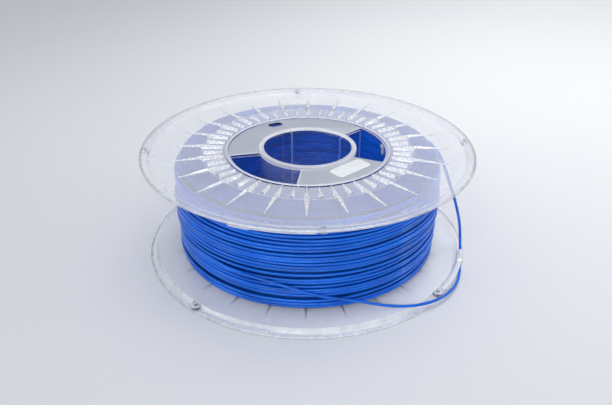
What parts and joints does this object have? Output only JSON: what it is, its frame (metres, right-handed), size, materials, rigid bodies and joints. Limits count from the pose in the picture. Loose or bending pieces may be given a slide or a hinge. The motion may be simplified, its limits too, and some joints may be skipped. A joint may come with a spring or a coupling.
{
  "type": "filament spool",
  "caption": "Clear two-flange spool for 3D-printing filament, with a windowed hub, sunburst stiffening ribs, rim clips and a blue winding whose loose end is tucked under a clip.",
  "frame": {"origin": "spool axis at the lowest face of the lower flange, where the spool rests when it lies flat", "axes": "+Z along the spool axis, from the lower flange to the upper one; +X to the right and -Y towards a person facing the loose end of the filament"},
  "size_m": [0.2, 0.2, 0.0674],
  "materials": {
    "clear_plastic": "clear, glossy, very slightly hazy moulded plastic",
    "clear_hub": "clear glossy moulded plastic with whitish edges",
    "rib_plastic": "clear, glossy, bright at its facets",
    "label_grey": "smooth satin film label, blank",
    "sticker_white": "plain white paper sticker, blank",
    "filament_blue": "glossy blue extruded filament"
  },
  "bodies": {
    "root": {"upper_flange": "clear_plastic", "upper_sunburst_ribs": "rib_plastic", "upper_rim_clips": "rib_plastic", "lower_flange": "clear_plastic", "lower_sunburst_ribs": "rib_plastic", "lower_rim_clips": "rib_plastic", "upper_hub_web": "clear_hub", "lower_hub_web": "clear_hub", "hub_drum": "clear_hub", "bore_tube": "clear_hub", "hub_wall_1": "clear_hub", "hub_wall_2": "clear_hub", "hub_wall_3": "clear_hub", "hub_wall_4": "clear_hub", "hub_wall_5": "clear_hub", "snap_hooks": "clear_hub", "front_hub_label": "label_grey", "rear_hub_label": "label_grey", "left_hub_label": "label_grey", "blank_sticker": "sticker_white", "filament_winding": "filament_blue", "filament_inner_end": "filament_blue", "filament_lead": "filament_blue"}
  },
  "joints": []
}
